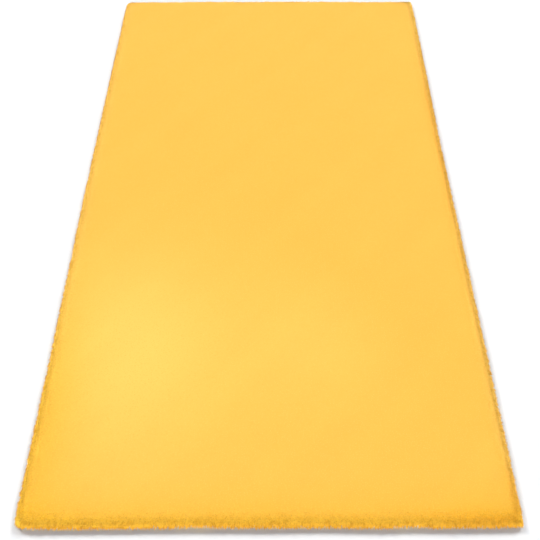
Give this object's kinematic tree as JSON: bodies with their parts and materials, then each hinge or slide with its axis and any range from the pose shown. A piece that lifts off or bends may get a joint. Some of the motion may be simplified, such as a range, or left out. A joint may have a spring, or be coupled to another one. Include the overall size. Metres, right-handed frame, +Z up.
{
  "type": "faux fur rug",
  "caption": "Rectangular faux fur bedside rug, a flat knitted ground with a dense short plush pile that leans out over its cut edges; lies on the floor.",
  "frame": {"origin": "on the floor under the middle of the rug", "axes": "+X across the rug to the right, +Y along the rug away from the viewer, +Z up out of the pile"},
  "size_m": [0.8047, 1.5019, 0.0238],
  "materials": {
    "fur": "dense short acrylic plush pile in warm yellow, matt with a soft sheen, darker between the locks",
    "ground": "plain weft-knitted polyester ground seen from the back, dull pale yellow"
  },
  "bodies": {
    "root": {"fur_rug": "fur"}
  },
  "joints": []
}
